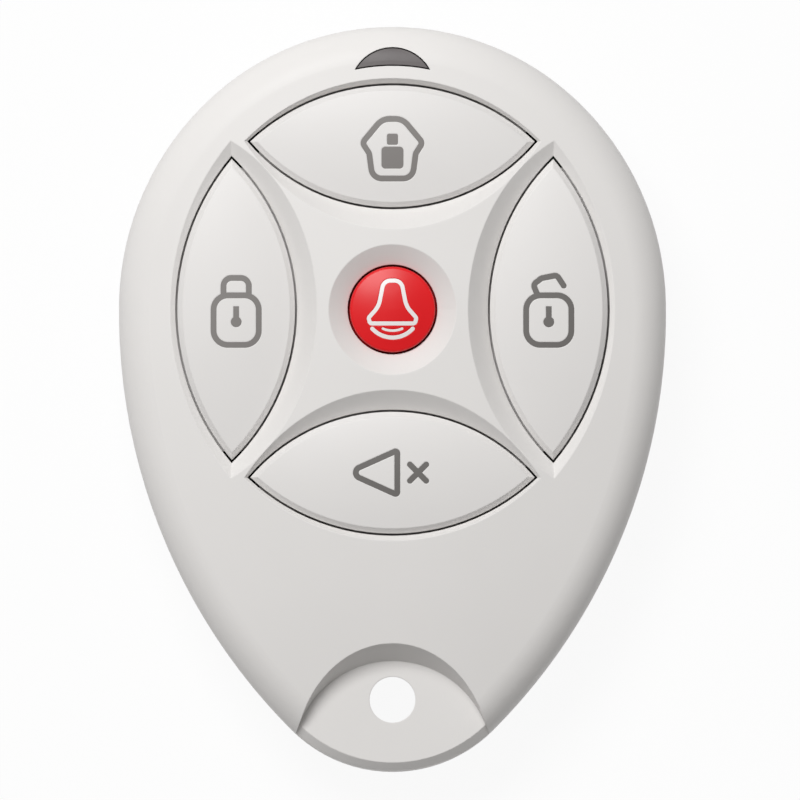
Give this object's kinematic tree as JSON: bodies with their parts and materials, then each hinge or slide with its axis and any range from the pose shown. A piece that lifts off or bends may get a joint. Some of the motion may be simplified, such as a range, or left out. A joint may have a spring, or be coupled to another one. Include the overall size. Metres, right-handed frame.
{
  "type": "alarm key fob",
  "caption": "Egg-shaped keyring remote for an alarm: plastic case, lens-shaped keys round a recessed red panic key, lamp window, circuit board, key switches and coin cell",
  "frame": {"origin": "on the flat back face, under the middle of the outline", "axes": "+Z out of the face, +Y towards the lamp window, +X to the right seen from the front"},
  "size_m": [0.044, 0.06, 0.0134],
  "materials": {
    "case_plastic": "satin moulded plastic, pale warm grey, fine spark texture",
    "key_plastic": "satin moulded plastic, pale warm grey, a little smoother than the case",
    "panic_plastic": "glossy red moulded plastic",
    "grey_mark": "warm grey moulded-in mark",
    "white_mark": "white moulded-in mark",
    "smoked_window": "smoked translucent plastic, polished",
    "screw_steel": "bright zinc-plated steel",
    "board_laminate": "green lacquered board",
    "cell_steel": "polished stainless steel can",
    "spring_metal": "plated spring sheet",
    "clear_resin": "clear moulded resin",
    "black_resin": "black moulded resin",
    "plunger_plastic": "smooth dark plastic",
    "tinned_metal": "bright tinned metal",
    "part_ceramic": "fired brown ceramic with tinned ends",
    "copper_wire": "bare copper wire"
  },
  "bodies": {
    "root": {"front_shell": "case_plastic", "rear_shell": "case_plastic", "lamp_window": "smoked_window", "housing_screws": "screw_steel", "circuit_board": "board_laminate", "battery_cell": "cell_steel", "battery_clip": "spring_metal", "battery_contact": "spring_metal", "lamp": "clear_resin", "controller_chip": "black_resin", "controller_leads": "tinned_metal", "radio_chip": "black_resin", "radio_leads": "tinned_metal", "resonator": "tinned_metal", "chip_capacitors": "part_ceramic", "chip_resistors": "black_resin", "antenna_loop": "copper_wire", "switch_home_base": "black_resin", "switch_home_cover": "spring_metal", "switch_home_dome": "spring_metal", "switch_home_legs": "tinned_metal", "switch_lock_base": "black_resin", "switch_lock_cover": "spring_metal", "switch_lock_dome": "spring_metal", "switch_lock_legs": "tinned_metal", "switch_unlock_base": "black_resin", "switch_unlock_cover": "spring_metal", "switch_unlock_dome": "spring_metal", "switch_unlock_legs": "tinned_metal", "switch_mute_base": "black_resin", "switch_mute_cover": "spring_metal", "switch_mute_dome": "spring_metal", "switch_mute_legs": "tinned_metal", "switch_panic_base": "black_resin", "switch_panic_cover": "spring_metal", "switch_panic_dome": "spring_metal", "switch_panic_legs": "tinned_metal"},
    "home_key": {"button_home": "key_plastic", "symbol_home": "grey_mark", "switch_home_plunger": "plunger_plastic"},
    "lock_key": {"button_lock": "key_plastic", "symbol_lock": "grey_mark", "switch_lock_plunger": "plunger_plastic"},
    "unlock_key": {"button_unlock": "key_plastic", "symbol_unlock": "grey_mark", "switch_unlock_plunger": "plunger_plastic"},
    "mute_key": {"button_mute": "key_plastic", "symbol_mute": "grey_mark", "switch_mute_plunger": "plunger_plastic"},
    "panic_key": {"button_panic": "panic_plastic", "symbol_panic": "white_mark", "switch_panic_plunger": "plunger_plastic"}
  },
  "joints": [
    {"name": "home_press", "type": "slide", "parent": "root", "child": "home_key", "axis": [0, 0, -1], "range_m": [0, 0.0003], "stiffness_N_per_m": 5000, "deforming": ["switch_home_dome"]},
    {"name": "lock_press", "type": "slide", "parent": "root", "child": "lock_key", "axis": [0, 0, -1], "range_m": [0, 0.0003], "stiffness_N_per_m": 5000, "deforming": ["switch_lock_dome"]},
    {"name": "unlock_press", "type": "slide", "parent": "root", "child": "unlock_key", "axis": [0, 0, -1], "range_m": [0, 0.0003], "stiffness_N_per_m": 5000, "deforming": ["switch_unlock_dome"]},
    {"name": "mute_press", "type": "slide", "parent": "root", "child": "mute_key", "axis": [0, 0, -1], "range_m": [0, 0.0003], "stiffness_N_per_m": 5000, "deforming": ["switch_mute_dome"]},
    {"name": "panic_press", "type": "slide", "parent": "root", "child": "panic_key", "axis": [0, 0, -1], "range_m": [0, 0.0003], "stiffness_N_per_m": 5000, "deforming": ["switch_panic_dome"]}
  ]
}
